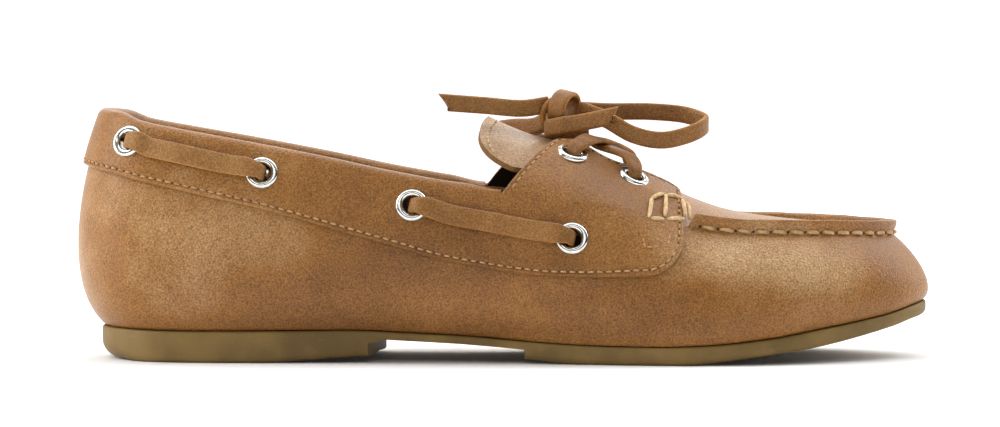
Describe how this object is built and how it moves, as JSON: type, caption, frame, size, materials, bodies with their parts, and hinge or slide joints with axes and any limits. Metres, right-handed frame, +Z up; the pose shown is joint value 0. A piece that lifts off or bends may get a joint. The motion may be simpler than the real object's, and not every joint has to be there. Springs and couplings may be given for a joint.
{
  "type": "boat shoe",
  "caption": "Slim leather boat shoe, right foot, with raised toe seam, collar lacing, bow and low heeled sole.",
  "frame": {"origin": "on the floor under the middle of the shoe's bounding box, measured without the bow", "axes": "+X from heel to toe, -Y to the outer side of the foot, +Z up"},
  "size_m": [0.2502, 0.0798, 0.0775],
  "materials": {
    "rubber": "matt brown sole rubber",
    "insole_leather": "matt",
    "upper_leather": "soft sheen",
    "band_leather": "soft sheen",
    "lace_leather": "matt",
    "metal": "polished"
  },
  "bodies": {
    "root": {"outsole": "rubber", "insole": "insole_leather", "upper": "upper_leather", "quarter_overlay": "band_leather", "tongue": "upper_leather", "eyelet_band_1_outer": "metal", "eyelet_band_1_inner": "metal", "eyelet_band_2_outer": "metal", "eyelet_band_2_inner": "metal", "eyelet_band_3_outer": "metal", "eyelet_band_3_inner": "metal", "eyelet_band_4_outer": "metal", "eyelet_band_4_inner": "metal", "eyelet_flap_1_outer": "metal", "eyelet_flap_1_inner": "metal", "eyelet_flap_2_outer": "metal", "eyelet_flap_2_inner": "metal", "side_lace_rear_outer": "lace_leather", "side_lace_front_outer": "lace_leather", "side_lace_rear_inner": "lace_leather", "side_lace_front_inner": "lace_leather", "lace_crossing": "lace_leather", "lace_knot": "lace_leather", "lace_end_rear": "lace_leather", "lace_end_front": "lace_leather", "lace_loop_front": "lace_leather", "lace_loop_rear": "lace_leather"}
  },
  "joints": []
}
